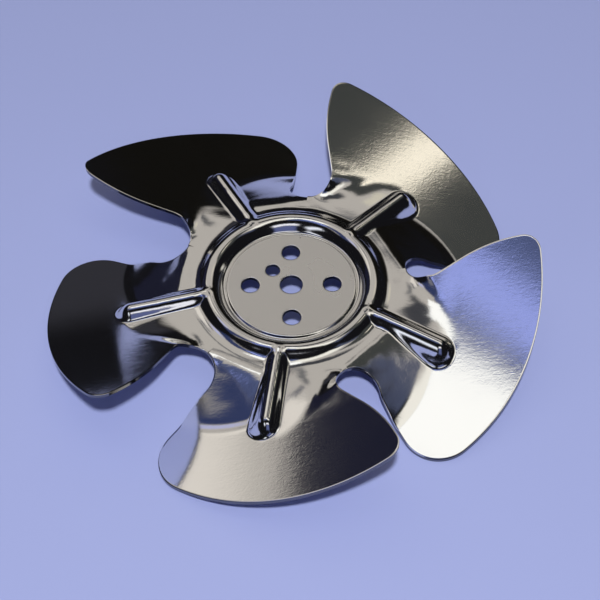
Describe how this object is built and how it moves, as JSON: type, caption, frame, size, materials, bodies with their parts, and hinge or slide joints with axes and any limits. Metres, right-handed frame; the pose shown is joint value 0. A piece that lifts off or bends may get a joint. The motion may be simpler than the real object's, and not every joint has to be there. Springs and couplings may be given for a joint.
{
  "type": "axial fan impeller",
  "caption": "Axial fan impeller pressed in one piece from bright aluminium sheet: twisted blades, each with a raised rib, round a beaded hub with a drilled mounting disc.",
  "frame": {"origin": "on the fan's axis, in the centre bore at the disc's flat face that meets the motor hub", "axes": "+Z along the fan's axis, away from the motor, towards the side the ribs and the bead ring stand out of; +X through one bolt hole"},
  "size_m": [0.1525, 0.1508, 0.0283],
  "materials": {
    "aluminium": "bright rolled sheet, fine scratches"
  },
  "bodies": {
    "root": {"impeller": "aluminium"}
  },
  "joints": []
}
